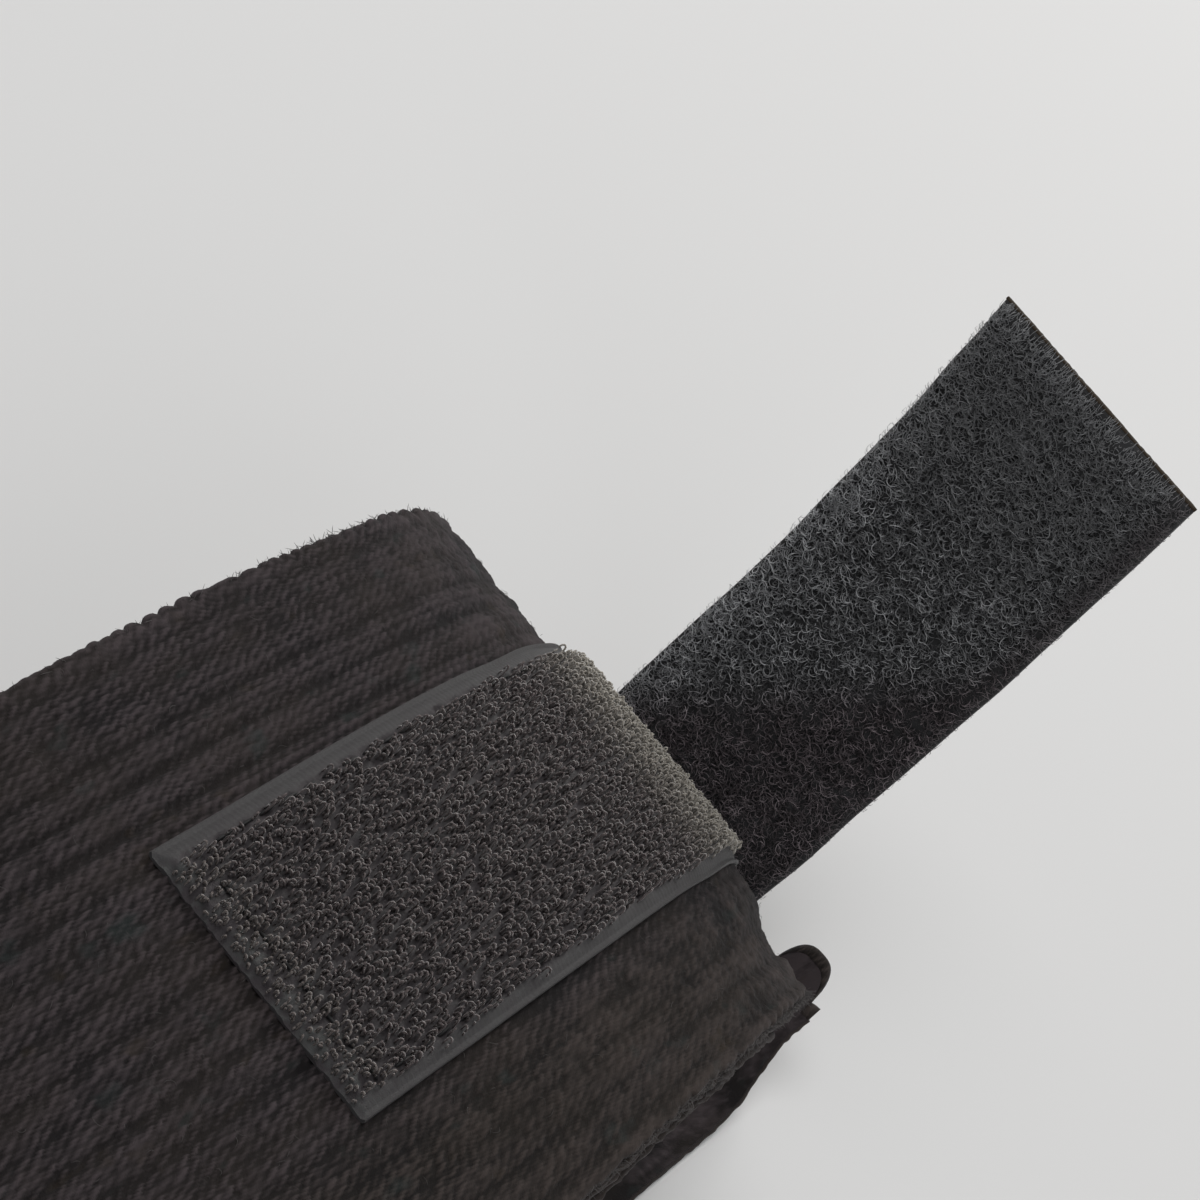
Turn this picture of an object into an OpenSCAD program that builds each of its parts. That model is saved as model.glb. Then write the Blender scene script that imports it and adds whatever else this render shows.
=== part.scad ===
/* [Band] */
// Width of the elastic band
band_w = 55; // [45:1:60]
// Thickness of the band
band_t = 0.9; // [0.6:0.05:1.0]
// Height of the fold's upper side at the heart of the roll
roll_crown = 3.2; // [2.0:0.1:4.0]
// Half length of the flat fold at the heart of the roll
fold_half = 28; // [24:1:32]
// Distance from one layer to the next where the roll is pressed flat
layer_pitch = 1.06; // [1.04:0.01:1.15]
// Number of turns, counted from the flat fold
turns = 22.5; // [16.5:1:22.5]
// Slack that the whole roll gathers at its two round ends
end_slack = 9; // [4:1:10]

/* [Hook patch] */
// Width of the woven tape that carries the hooks
tape_w = 25; // [20:1:30]
// Thickness of the woven tape
tape_t = 0.9; // [0.6:0.1:0.9]
// Plain edge on each side of the field of hooks
selvedge = 2.3; // [1.5:0.1:3.0]
// Height of the hooks above their tape
hook_h = 1.1; // [0.8:0.1:1.2]
// Direction on the round end at which the patch begins
hook_near_angle = -12; // [-20:1:0]
// Direction on the crown at which the patch ends
hook_far_angle = 91.1; // [90.5:0.1:92.0]

/* [Loop strap] */
// Height of the looped pile above the strap's tape
pile_h = 1.5; // [1.0:0.1:1.5]
// Radius at which the tail turns up off the floor
bend_r = 17; // [16:1:18]
// Angle through which it turns up there
bend_angle = 55; // [50:1:58]
// Radius of the slow curl that brings the strap upright
curl_r = 75; // [72:1:90]
// Length of the strap from the bend to its tip
strap_free = 71; // [66:0.5:72]
// Distance of the strap's middle line from the middle of the roll
strap_y = -3; // [-8:1:0]
// Distance of the tail's middle line from the middle of the roll
tail_y = -2; // [-4:1:0]

/* [Thumb loop] */
// Width of the thumb loop's tape
thumb_w = 18; // [14:1:24]
// Length of the thumb loop, pressed flat
thumb_len = 36; // [30:1:36]

/* [Hidden] */

black = [0.13, 0.12, 0.12];
charcoal = [0.17, 0.17, 0.18];
hook_grey = [0.30, 0.29, 0.26];
thread = [0.08, 0.08, 0.08];

// The fold's lower side is almost straight, so the roll lies flat.
fold_low = 0.3;
start_turn = 0.3;
mid_z = fold_low + layer_pitch * turns + band_t / 2;
points_per_turn = 28;
// The last layer is drawn round to this direction. From there on it is flat, and is drawn as the tail.
roll_end_angle = 265.7;
tail_start = -25.5;
// Gap left between two pieces that are sewn face to face.
sewn_gap = 0.03;

// Bend, hinge and end stations, as lengths along the tail from the middle of the roll.
bend_s = 62;
bend_len = bend_r * bend_angle * PI / 180;
curl_s = bend_s + bend_len;
tip_s = curl_s + strap_free;
tail_hinge_1 = 36.7;
tail_hinge_2 = 57.3;
bend_hinge_1 = bend_s + bend_len / 4;
bend_hinge_2 = bend_s + bend_len * 3 / 4;
strap_hinge_1 = curl_s + 5.1;
strap_hinge_2 = strap_hinge_1 + 22.1;
// The strap is sewn over the tail from here to the end of the tail.
root_s = 58.5;
band_end_s = strap_hinge_1 - 0.8;
hem_len = 7;
tip_len = 0.8;

// Half the gap in the fabric at a hinge line: wider where more thickness has to fold.
band_gap = 0.5;
tape_gap = 0.3;
pile_gap = 0.6;

thread_w = 0.45;
thread_h = 0.12;
stitch_len = 2.2;
stitch_pitch = 3.0;

// ---- The roll: each layer is drawn from the distance of its tangent line to the middle ----

// Distance of the tangent line facing direction a, on turn t, moved outwards by off.
function reach(a, t, off) = fold_reach(a) + layer_pitch * t + end_slack * t / turns * pow(cos(a), 2) + off;
function fold_b(a) = sin(a) >= 0 ? roll_crown : fold_low;
function fold_reach(a) = sqrt(pow(fold_half * cos(a), 2) + pow(fold_b(a) * sin(a), 2));
// How fast that distance changes with the direction, per radian.
function reach_rate(a, t) =
    (pow(fold_b(a), 2) - pow(fold_half, 2)) * sin(a) * cos(a) / fold_reach(a)
    - end_slack * t / turns * sin(2 * a)
    + (layer_pitch + end_slack / turns * pow(cos(a), 2)) / (2 * PI);
// The turn that the band is on at direction a, where the last turn ends facing down.
function turn_at(a) = turns - (270 - a) / 360;
function roll_point(a, off) =
    let (r = reach(a, turn_at(a), off), d = reach_rate(a, turn_at(a)))
    [r * cos(a) - d * sin(a), mid_z + r * sin(a) + d * cos(a)];

// Directions are spaced closer where the layers run flat.
flat_bias = 2.5;
function direction(u) =
    let (k = floor((u + 180) / 360), v = u - 360 * k)
    360 * k + atan2(flat_bias * sin(v), cos(v));
function station(a) =
    let (k = floor((a + 180) / 360), v = a - 360 * k)
    360 * k + atan2(sin(v), flat_bias * cos(v));

// Every strip of the roll has its corners at the same knots, and its ends lie on the straight
// line between two of them, so strips at different heights stay parallel.
knot_step = 360 / points_per_turn;
function blend_points(p, q, share) = p + share * (q - p);
function roll_knot(k, off) = roll_point(direction(k * knot_step), off);
function roll_end(u, off) =
    let (k = floor(u / knot_step))
    blend_points(roll_knot(k, off), roll_knot(k + 1, off), u / knot_step - k);
function roll_line(a0, a1, off) =
    let (u0 = station(a0), u1 = station(a1))
    concat([roll_end(u0, off)],
        [for (k = [floor(u0 / knot_step) + 1:ceil(u1 / knot_step) - 1]) roll_knot(k, off)],
        [roll_end(u1, off)]);
function reversed(list) = [for (i = [len(list) - 1:-1:0]) list[i]];

// An outline in the XZ plane, made as wide as from y0 to y1.
module widen(outline, y0, y1) {
    translate([0, (y0 + y1) / 2, 0]) rotate([90, 0, 0])
        linear_extrude(height = y1 - y0, center = true) polygon(outline);
}

// A strip that follows the roll between two directions and two heights above the band's middle.
module roll_strip(a0, a1, off0, off1, y0, y1) {
    widen(concat(roll_line(a0, a1, off0), reversed(roll_line(a0, a1, off1))), y0, y1);
}

// ---- The tail and strap: flat along the floor, round the bend, then up in a slow curl ----

// Heading of the tail at length s, in degrees above the floor.
function heading(s) =
    s <= bend_s ? 0
    : s <= curl_s ? (s - bend_s) / bend_r * 180 / PI
    : bend_angle + (s - curl_s) / curl_r * 180 / PI;
function arc_step(r, a0, a1) = r * [sin(a1) - sin(a0), cos(a0) - cos(a1)];
function tail_point(s, off) =
    let (a = heading(s))
    [min(s, bend_s), band_t] + arc_step(bend_r, 0, min(a, bend_angle))
    + arc_step(curl_r, bend_angle, max(a, bend_angle)) + off * [-sin(a), cos(a)];

// Knots that all strips of the tail and strap share, as on the roll.
tail_knots = concat([tail_start], [for (i = [0:8]) bend_s + bend_len * i / 8],
    [for (i = [1:12]) curl_s + strap_free * i / 12], [tip_s + tip_len]);
function tail_end(s, off) = [for (i = [1:len(tail_knots) - 1])
    let (p = tail_knots[i - 1], q = tail_knots[i])
    if (s >= p && (s < q || i == len(tail_knots) - 1))
        blend_points(tail_point(p, off), tail_point(q, off), (s - p) / (q - p))][0];
function tail_line(s0, s1, off) = concat([tail_end(s0, off)],
    [for (s = tail_knots) if (s > s0 + 0.01 && s < s1 - 0.01) tail_point(s, off)],
    [tail_end(s1, off)]);

module tail_strip(s0, s1, off0, off1, y0, y1) {
    widen(concat(tail_line(s0, s1, off0), reversed(tail_line(s0, s1, off1))), y0, y1);
}

module tail_band(s0, s1) {
    color(black) tail_strip(s0, s1, -band_t, 0, tail_y - band_w / 2, tail_y + band_w / 2);
}

module strap_tape(s0, s1) {
    color(charcoal) tail_strip(s0, s1, sewn_gap, tape_t, strap_y - tape_w / 2, strap_y + tape_w / 2);
}

module strap_pile(s0, s1) {
    color(charcoal)
        tail_strip(s0, s1, tape_t, tape_t + pile_h, strap_y - tape_w / 2 + 0.6, strap_y + tape_w / 2 - 0.6);
}

// Two lines of thread along the strap, 2 mm inside its edges, and one across it where asked.
module box_stitches(s0, s1, cross_s) {
    top = tape_t + pile_h;
    edge = tape_w / 2 - 2;
    color(thread) {
        for (side = [-1, 1])
            tail_strip(s0, s1, top, top + thread_h, strap_y + side * edge - thread_w / 2,
                strap_y + side * edge + thread_w / 2);
        for (s = cross_s)
            tail_strip(s, s + thread_w, top, top + thread_h, strap_y - edge, strap_y + edge);
    }
}

// ---- Sub-parts of the roll ----

module band_roll() {
    color(black)
        roll_strip(270 - 360 * (turns - start_turn), roll_end_angle, -band_t / 2, band_t / 2,
            -band_w / 2, band_w / 2);
}

// Height above the first layer inside the fold, clear of where that layer turns up.
core_floor = mid_z - fold_low - layer_pitch * 0.5 + band_t / 2 + 0.3;
hem_x = [-24, -17];

module band_start_hem() {
    color(black) translate([hem_x[0], -band_w / 2, core_floor])
        cube([hem_x[1] - hem_x[0], band_w, band_t - 0.05]);
}

module start_hem_stitches() {
    color(thread)
        for (y = [-band_w / 2 + 3:stitch_pitch:band_w / 2 - 3])
            translate([hem_x[0] + 2, y, core_floor + band_t - 0.05]) cube([thread_w, stitch_len, thread_h]);
}

thumb_x = -16;
thumb_z = core_floor + 0.4;
thumb_t = 0.85;
thumb_slot = 0.3;

module thumb_outline(inset) {
    h = 2 * thumb_t + thumb_slot - 2 * inset;
    l = thumb_len - 2 * inset;
    translate([thumb_x + inset, thumb_z + inset])
        union() {
            translate([h / 2, 0]) square([l - h, h]);
            for (x = [h / 2, l - h / 2]) translate([x, h / 2]) circle(d = h, $fn = 24);
        }
}

module thumb_loop() {
    color(charcoal) rotate([90, 0, 0])
        linear_extrude(height = thumb_w, center = true)
            difference() {
                thumb_outline(0);
                thumb_outline(thumb_t);
            }
}

// Two bars of thread that hold the loop's ends on the band.
module thumb_loop_stitches() {
    color(thread)
        for (x = [thumb_x + 3, thumb_x + 6])
            translate([x, -thumb_w / 2 + 2, thumb_z + 2 * thumb_t + thumb_slot])
                cube([thread_w, thumb_w - 4, thread_h]);
}

tape_low = band_t / 2 + sewn_gap;
tape_top = band_t / 2 + tape_t;

module hook_tape() {
    color(charcoal)
        roll_strip(hook_near_angle, hook_far_angle, tape_low, tape_top, -tape_w / 2, tape_w / 2);
}

module hook_field() {
    color(hook_grey)
        roll_strip(hook_near_angle + 3, hook_far_angle - 0.45, tape_top, tape_top + hook_h,
            -tape_w / 2 + selvedge, tape_w / 2 - selvedge);
}

// Seam that runs round the patch, on the plain edge just outside the hooks.
module hook_tape_stitches() {
    seam_y = tape_w / 2 - selvedge + thread_w;
    color(thread) {
        for (side = [-1, 1])
            roll_strip(hook_near_angle + 1, hook_far_angle - 0.2, tape_top, tape_top + thread_h,
                side * seam_y - thread_w / 2, side * seam_y + thread_w / 2);
        for (a = [hook_near_angle + 1, hook_far_angle - 0.25])
            roll_strip(a, a + (a > 0 ? 0.08 : 1), tape_top, tape_top + thread_h, -seam_y, seam_y);
    }
}

// ---- Sub-parts of the tail ----

module tail_hem() {
    color(black) tail_strip(band_end_s - hem_len, band_end_s, -2 * band_t, -band_t - sewn_gap,
        tail_y - band_w / 2, tail_y + band_w / 2);
}

module tail_hem_stitches() {
    color(thread)
        for (s = [band_end_s - hem_len + 1, band_end_s - 2], y = [-band_w / 2 + 2:stitch_pitch:band_w / 2 - 4])
            tail_strip(s, s + thread_w, -2 * band_t - thread_h, -2 * band_t, tail_y + y,
                tail_y + y + stitch_len);
}

module strap_tip_seal() {
    color(thread) tail_strip(tip_s + sewn_gap, tip_s + tip_len, 0.1, tape_t + 0.3,
        strap_y - tape_w / 2, strap_y + tape_w / 2);
}

band_roll();
band_start_hem();
start_hem_stitches();
thumb_loop();
thumb_loop_stitches();
hook_tape();
hook_field();
hook_tape_stitches();
tail_band(tail_start, tail_hinge_1 - band_gap);  // tail_band_1
tail_band(tail_hinge_1 + band_gap, tail_hinge_2 - band_gap);  // tail_band_2
tail_band(tail_hinge_2 + band_gap, bend_hinge_1 - band_gap);  // tail_band_3
tail_band(bend_hinge_1 + band_gap, bend_hinge_2 - band_gap);  // tail_band_4
tail_band(bend_hinge_2 + band_gap, band_end_s);  // tail_band_5
tail_hem();
tail_hem_stitches();
strap_tape(root_s, bend_hinge_1 - tape_gap);  // strap_tape_1
strap_tape(bend_hinge_1 + tape_gap, bend_hinge_2 - tape_gap);  // strap_tape_2
strap_tape(bend_hinge_2 + tape_gap, strap_hinge_1 - tape_gap);  // strap_tape_3
strap_tape(strap_hinge_1 + tape_gap, strap_hinge_2 - tape_gap);  // strap_tape_4
strap_tape(strap_hinge_2 + tape_gap, tip_s);  // strap_tape_5
strap_pile(root_s + 0.5, bend_hinge_1 - pile_gap);  // strap_pile_1
strap_pile(bend_hinge_1 + pile_gap, bend_hinge_2 - pile_gap);  // strap_pile_2
strap_pile(bend_hinge_2 + pile_gap, strap_hinge_1 - pile_gap);  // strap_pile_3
strap_pile(strap_hinge_1 + pile_gap, strap_hinge_2 - pile_gap);  // strap_pile_4
strap_pile(strap_hinge_2 + pile_gap, tip_s - 0.3);  // strap_pile_5
box_stitches(root_s + 2, bend_hinge_1 - pile_gap - 0.2, [root_s + 2]);  // box_stitches_1
box_stitches(bend_hinge_1 + pile_gap + 0.2, bend_hinge_2 - pile_gap - 0.2, []);  // box_stitches_2
box_stitches(bend_hinge_2 + pile_gap + 0.2, band_end_s - 1, [band_end_s - 1.5]);  // box_stitches_3
strap_tip_seal();
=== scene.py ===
"""A boxing hand wrap rolled flat: elastic cotton band, hook patch outside, loop strap standing free."""
import math

import bpy
import numpy as np
from mathutils import Matrix, Vector


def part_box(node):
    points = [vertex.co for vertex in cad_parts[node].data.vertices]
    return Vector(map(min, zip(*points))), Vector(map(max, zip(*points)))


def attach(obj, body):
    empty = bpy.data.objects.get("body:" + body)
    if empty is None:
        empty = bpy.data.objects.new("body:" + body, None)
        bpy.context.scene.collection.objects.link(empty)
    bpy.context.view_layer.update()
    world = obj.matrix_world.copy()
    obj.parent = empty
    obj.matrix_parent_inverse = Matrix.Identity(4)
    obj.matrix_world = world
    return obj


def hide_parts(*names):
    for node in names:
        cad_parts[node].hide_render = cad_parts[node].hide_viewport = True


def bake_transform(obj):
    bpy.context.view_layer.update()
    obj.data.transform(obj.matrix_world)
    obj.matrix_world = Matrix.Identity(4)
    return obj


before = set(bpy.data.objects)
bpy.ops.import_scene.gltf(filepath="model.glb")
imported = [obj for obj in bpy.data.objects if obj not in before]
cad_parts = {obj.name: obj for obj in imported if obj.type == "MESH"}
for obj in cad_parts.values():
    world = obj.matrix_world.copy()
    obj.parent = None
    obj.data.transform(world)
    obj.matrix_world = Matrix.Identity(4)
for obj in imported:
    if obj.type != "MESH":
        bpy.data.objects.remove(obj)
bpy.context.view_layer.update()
MM = 0.001
FULL_TURN = 2 * math.pi

# ------------------------ camera, in millimetres and degrees
CAMERA_AT = Vector((-136.0, -28.1, 226.5))
CAMERA_DOWN = 42.8
CAMERA_YAW = 11.83
CAMERA_ROLL = 41.95
CAMERA_LENS = 90.9
CAMERA_SENSOR = 36.0


def make_camera():
    down, yaw, roll = (math.radians(a) for a in (CAMERA_DOWN, CAMERA_YAW, CAMERA_ROLL))
    ahead = Vector((math.cos(down) * math.cos(yaw), math.cos(down) * math.sin(yaw), -math.sin(down)))
    right = Vector((math.sin(yaw), -math.cos(yaw), 0.0))
    up = right.cross(ahead)
    x_axis = math.cos(roll) * right + math.sin(roll) * up
    y_axis = math.cos(roll) * up - math.sin(roll) * right
    data = bpy.data.cameras.new("camera")
    data.lens = CAMERA_LENS
    data.sensor_width = CAMERA_SENSOR
    data.clip_start = 0.01
    data.clip_end = 20.0
    camera = bpy.data.objects.new("camera", data)
    turn = Matrix((x_axis, y_axis, -ahead)).transposed()
    camera.matrix_world = Matrix.Translation(CAMERA_AT * MM) @ turn.to_4x4()
    bpy.context.scene.collection.objects.link(camera)
    bpy.context.scene.camera = camera


make_camera()

# ------------------------ the wrap's own dimensions, in millimetres and degrees
BAND_W = 55.0
BAND_T = 0.9
ROLL_CROWN = 3.2
FOLD_HALF = 28.0
FOLD_LOW = 0.3
LAYER_PITCH = 1.06
TURNS = 22.5
END_SLACK = 9.0
START_TURN = 0.3
FLAT_BIAS = 2.5
ROLL_END_ANGLE = 268.5
MID_Z = FOLD_LOW + LAYER_PITCH * TURNS + BAND_T / 2

# The strap stands a little more open than the 75 and 71 of the CAD design.
CURL_R = 80.0
STRAP_FREE = 72.5
BEND_R = 17.0
BEND_ANGLE = 55.0
BEND_S = 62.0
BEND_LEN = BEND_R * math.radians(BEND_ANGLE)
CURL_S = BEND_S + BEND_LEN
TIP_S = CURL_S + STRAP_FREE
TAIL_HINGE_1 = 36.7
TAIL_HINGE_2 = 57.3
BEND_HINGE_1 = BEND_S + BEND_LEN / 4
BEND_HINGE_2 = BEND_S + BEND_LEN * 3 / 4
STRAP_HINGE_1 = CURL_S + 5.1
STRAP_HINGE_2 = STRAP_HINGE_1 + 22.1
ROOT_S = 58.5
BAND_END_S = STRAP_HINGE_1 - 0.8
HEM_LEN = 7.0
HEM_FOLD_S = BAND_END_S - 0.6
TAPE_W = 25.0
TAPE_T = 0.9
TAPE_SECTION = 0.9 * TAPE_T
SELVEDGE = 2.3
HOOK_NEAR_ANGLE = -12.0
HOOK_FAR_ANGLE = 91.1
PILE_H = 1.5

# The strap's and the tail's middle lines, from the frame.
STRAP_Y = sum(corner.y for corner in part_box("strap_tape_5")) / 2 / MM
TAIL_Y = sum(corner.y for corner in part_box("tail_band_2")) / 2 / MM

RNG = np.random.default_rng(7)


# ------------------------ smooth noise that is the same each run
def lattice(i, j, seed):
    """A number from 0 to 1 for each lattice point. The large numbers only scramble its bits."""
    low_bits = 0xFFFFFFFF
    n = i.astype(np.int64) * 374761393 + j.astype(np.int64) * 668265263 + seed * 974711
    n = (n ^ (n >> 13)) & low_bits
    n = (n * 1274126177) & low_bits
    n = (n ^ (n >> 16)) & low_bits
    return n / low_bits


def noise(x, y, seed):
    """Value noise from -1 to 1, with one bump for each unit of x and y."""
    i, j = np.floor(x), np.floor(y)
    u, v = x - i, y - j
    u, v = u * u * (3 - 2 * u), v * v * (3 - 2 * v)
    low = lattice(i, j, seed) * (1 - u) + lattice(i + 1, j, seed) * u
    high = lattice(i, j + 1, seed) * (1 - u) + lattice(i + 1, j + 1, seed) * u
    return 2 * (low * (1 - v) + high * v) - 1


def smooth_step(x, low, high):
    t = np.clip((x - low) / (high - low), 0, 1)
    return t * t * (3 - 2 * t)


# ------------------------ paths: the roll's spiral and the tail
def fold_height(a):
    return np.where(np.sin(a) >= 0, ROLL_CROWN, FOLD_LOW)


def fold_reach(a):
    return np.sqrt((FOLD_HALF * np.cos(a)) ** 2 + (fold_height(a) * np.sin(a)) ** 2)


def roll_point(angle):
    """The band's middle at a direction in degrees, on the turn that the direction belongs to."""
    a = np.radians(angle)
    turn = TURNS - (270 - angle) / 360
    reach = fold_reach(a) + LAYER_PITCH * turn + END_SLACK * turn / TURNS * np.cos(a) ** 2
    rate = ((fold_height(a) ** 2 - FOLD_HALF ** 2) * np.sin(a) * np.cos(a) / fold_reach(a)
            - END_SLACK * turn / TURNS * np.sin(2 * a)
            + (LAYER_PITCH + END_SLACK / TURNS * np.cos(a) ** 2) / FULL_TURN)
    return np.stack([reach * np.cos(a) - rate * np.sin(a),
                     MID_Z + reach * np.sin(a) + rate * np.cos(a)], -1)


def direction(u):
    """The direction of a station, which lie closer together on the flat sides."""
    k = np.floor((u + 180) / 360)
    v = np.radians(u - 360 * k)
    return 360 * k + np.degrees(np.arctan2(FLAT_BIAS * np.sin(v), np.cos(v)))


def station(angle):
    """The station of a direction."""
    k = np.floor((angle + 180) / 360)
    v = np.radians(angle - 360 * k)
    return 360 * k + np.degrees(np.arctan2(np.sin(v), FLAT_BIAS * np.cos(v)))


def heading(s):
    """The tail's heading above the floor in radians, at a length from the roll's middle."""
    bend = np.clip((s - BEND_S) / BEND_R, 0, math.radians(BEND_ANGLE))
    return bend + np.maximum(s - CURL_S, 0) / CURL_R


def tail_point(s, off):
    """A point of the tail or strap, off above the tail's upper face."""
    a = heading(s)
    a1 = np.minimum(a, math.radians(BEND_ANGLE))
    a2 = math.radians(BEND_ANGLE)
    over = np.maximum(a, a2)
    x = np.minimum(s, BEND_S) + BEND_R * np.sin(a1) + CURL_R * (np.sin(over) - math.sin(a2))
    z = BAND_T + BEND_R * (1 - np.cos(a1)) + CURL_R * (math.cos(a2) - np.cos(over))
    return np.stack([x - off * np.sin(a), z + off * np.cos(a)], -1)


def spiral_table():
    """Directions along the roll and the band's length up to each."""
    first = 270 - 360 * (TURNS - START_TURN)
    u = np.linspace(station(np.array(first)), station(np.array(ROLL_END_ANGLE)), 24000)
    angle = direction(u)
    steps = np.linalg.norm(np.diff(roll_point(angle), axis=0), axis=1)
    return angle, np.concatenate([[0], np.cumsum(steps)])


SPIRAL_ANGLE, SPIRAL_LENGTH = spiral_table()
ROLL_LENGTH = SPIRAL_LENGTH[-1]
ROLL_END_X = roll_point(np.array([ROLL_END_ANGLE]))[0, 0]


def length_at(angle):
    return float(np.interp(angle, SPIRAL_ANGLE, SPIRAL_LENGTH))


def tail_length(s):
    """Length along the whole band of a station on the tail."""
    return ROLL_LENGTH + s - ROLL_END_X


def band_line(length):
    """Middle and outward direction of the band at lengths from its start hem."""
    angle = np.interp(length, SPIRAL_LENGTH, SPIRAL_ANGLE)
    rolled = roll_point(angle)
    out = np.stack([np.cos(np.radians(angle)), np.sin(np.radians(angle))], -1)
    s = length - ROLL_LENGTH + ROLL_END_X
    tail = tail_point(s, -BAND_T / 2)
    down = np.stack([np.sin(heading(s)), -np.cos(heading(s))], -1)
    past_roll = (length > ROLL_LENGTH)[:, None]
    return np.where(past_roll, tail, rolled), np.where(past_roll, down, out)


def strap_line(s):
    """Upper face of the tail and the direction away from it, towards the roll."""
    a = heading(s)
    return tail_point(s, 0.0), np.stack([-np.sin(a), np.cos(a)], -1)


# ------------------------ mesh helpers
EDGE_POINTS = 5


def to_3d(flat, y=0.0):
    """Points or directions (x, z), with their y put between."""
    return np.stack([flat[..., 0], y + 0 * flat[..., 0], flat[..., 1]], -1)


def spread(lengths, across):
    """The length and the place across of each point of a strip."""
    grid = lengths[:, None] + 0 * across
    return grid, np.broadcast_to(across, grid.shape)


def make_mesh(name, points, faces, cloth=None, relief=None):
    """A smooth mesh object. faces is a list of arrays with one row of corners for each face."""
    mesh = bpy.data.meshes.new(name)
    mesh.vertices.add(points.size // 3)
    mesh.vertices.foreach_set("co", (points * MM).astype(np.float32).ravel())
    corners = np.concatenate([f.ravel() for f in faces]).astype(np.int32)
    sizes = np.concatenate([np.full(len(f), f.shape[1]) for f in faces])
    mesh.loops.add(len(corners))
    mesh.loops.foreach_set("vertex_index", corners)
    mesh.polygons.add(len(sizes))
    starts = np.concatenate([[0], np.cumsum(sizes)[:-1]]).astype(np.int32)
    mesh.polygons.foreach_set("loop_start", starts)
    mesh.polygons.foreach_set("use_smooth", np.ones(len(sizes), bool))
    mesh.update(calc_edges=True)
    for label, kind, key, values in (("cloth", "FLOAT_VECTOR", "vector", cloth),
                                     ("relief", "FLOAT", "value", relief)):
        if values is not None:
            layer = mesh.attributes.new(label, kind, "POINT")
            layer.data.foreach_set(key, values.astype(np.float32).ravel())
    obj = bpy.data.objects.new(name, mesh)
    bpy.context.scene.collection.objects.link(obj)
    return obj


def ring_faces(rings, corners, upper=0):
    """Quads between neighbouring rings of points, and a cap at each end.

    A strip with as many points below as above, given by upper, gets caps of quads that can be bent.
    """
    at = np.arange(rings * corners).reshape(rings, corners)
    after = np.roll(at, -1, axis=1)
    faces = [np.stack([at[:-1], at[1:], after[1:], after[:-1]], -1).reshape(-1, 4)]
    if not upper:
        return faces + [at[0][None, :], at[-1][None, ::-1]]
    turn = corners // 2 - upper
    for ring, step in ((at[0], 1), (at[-1], -1)):
        top, bottom = ring[:upper], ring[upper + turn:2 * upper + turn][::-1]
        right = ring[upper - 1:upper + turn + 1]
        left = np.append(ring[2 * upper + turn - 1:], ring[0])
        across = np.stack([top[:-1], top[1:], bottom[1:], bottom[:-1]], -1)
        faces += [across[:, ::step], right[None, ::step], left[None, ::step]]
    return faces


def sharpen_ends(obj, rings, corners):
    """Keeps the closing faces' light off the surface, so that neighbouring lengths join unseen."""
    mesh = obj.data
    pairs = np.empty(len(mesh.edges) * 2, np.int32)
    mesh.edges.foreach_get("vertices", pairs)
    pairs = pairs.reshape(-1, 2)
    at_end = (pairs < corners).all(1) | (pairs >= (rings - 1) * corners).all(1)
    layer = mesh.attributes.new("sharp_edge", "BOOLEAN", "EDGE")
    layer.data.foreach_set("value", at_end)


def band_section(width, thickness, upper, lower, turn=EDGE_POINTS):
    """Outline of a strip: places across it, heights, and which face each point is on (1, 0 or -1)."""
    r = thickness / 2
    flat = width / 2 - r
    bend = np.linspace(math.pi / 2, -math.pi / 2, turn + 2)[1:-1]
    across = np.concatenate([np.linspace(-flat, flat, upper), flat + r * np.cos(bend),
                             np.linspace(flat, -flat, lower), -flat - r * np.cos(bend)])
    height = np.concatenate([np.full(upper, r), r * np.sin(bend), np.full(lower, -r), -r * np.sin(bend)])
    face = np.concatenate([np.ones(upper), np.zeros(turn), -np.ones(lower), np.zeros(turn)])
    return across, height, face


def place_off(line, across, height, along=0.0):
    """Points at heights off a line of middles and directions, moved across it and along it."""
    middle, out = line
    x = middle[:, 0, None] + height * out[:, 0, None] + along * out[:, 1, None]
    z = middle[:, 1, None] + height * out[:, 1, None] - along * out[:, 0, None]
    return np.stack([x, across, z], -1)


def strip_mesh(name, points, length, cloth_y, height, relief, upper=0):
    """A closed strip from rings of points, which keeps the cloth's own lengths."""
    rings, corners = points.shape[:2]
    cloth = np.stack([length, cloth_y, height], -1)
    obj = make_mesh(name, points, ring_faces(rings, corners, upper), cloth, relief)
    sharpen_ends(obj, rings, corners)
    return obj


def tubes(paths, radius, sides=5, taper=0.6):
    """Points and faces of many round threads. paths is (threads, points along each, 3)."""
    count, along, _ = paths.shape
    ahead = np.gradient(paths, axis=1)
    ahead /= np.linalg.norm(ahead, axis=2, keepdims=True) + 1e-9
    guide = np.where(np.abs(ahead[..., 2:3]) > 0.9, [[[1.0, 0, 0]]], [[[0, 0, 1.0]]])
    side = np.cross(ahead, guide)
    side /= np.linalg.norm(side, axis=2, keepdims=True) + 1e-9
    up = np.cross(side, ahead)
    turn = FULL_TURN * np.arange(sides) / sides
    thick = np.ones(along)
    thick[0] = thick[-1] = taper
    size = np.broadcast_to(np.asarray(radius, float).reshape(-1, 1), (count, 1)) * thick
    ring = (side[:, :, None] * np.cos(turn)[:, None] + up[:, :, None] * np.sin(turn)[:, None])
    points = paths[:, :, None] + ring * size[:, :, None, None]
    at = np.arange(along * sides).reshape(along, sides)
    after = np.roll(at, -1, axis=1)
    quads = np.stack([at[:-1], after[:-1], after[1:], at[1:]], -1).reshape(-1, 4)
    starts = (np.arange(count) * along * sides)[:, None, None]
    ends = [at[0][None, ::-1], at[-1][None]]
    faces = [(quads[None] + starts).reshape(-1, 4)]
    faces += [(e[None] + starts).reshape(-1, sides) for e in ends]
    return points.reshape(-1, 3), faces


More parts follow.
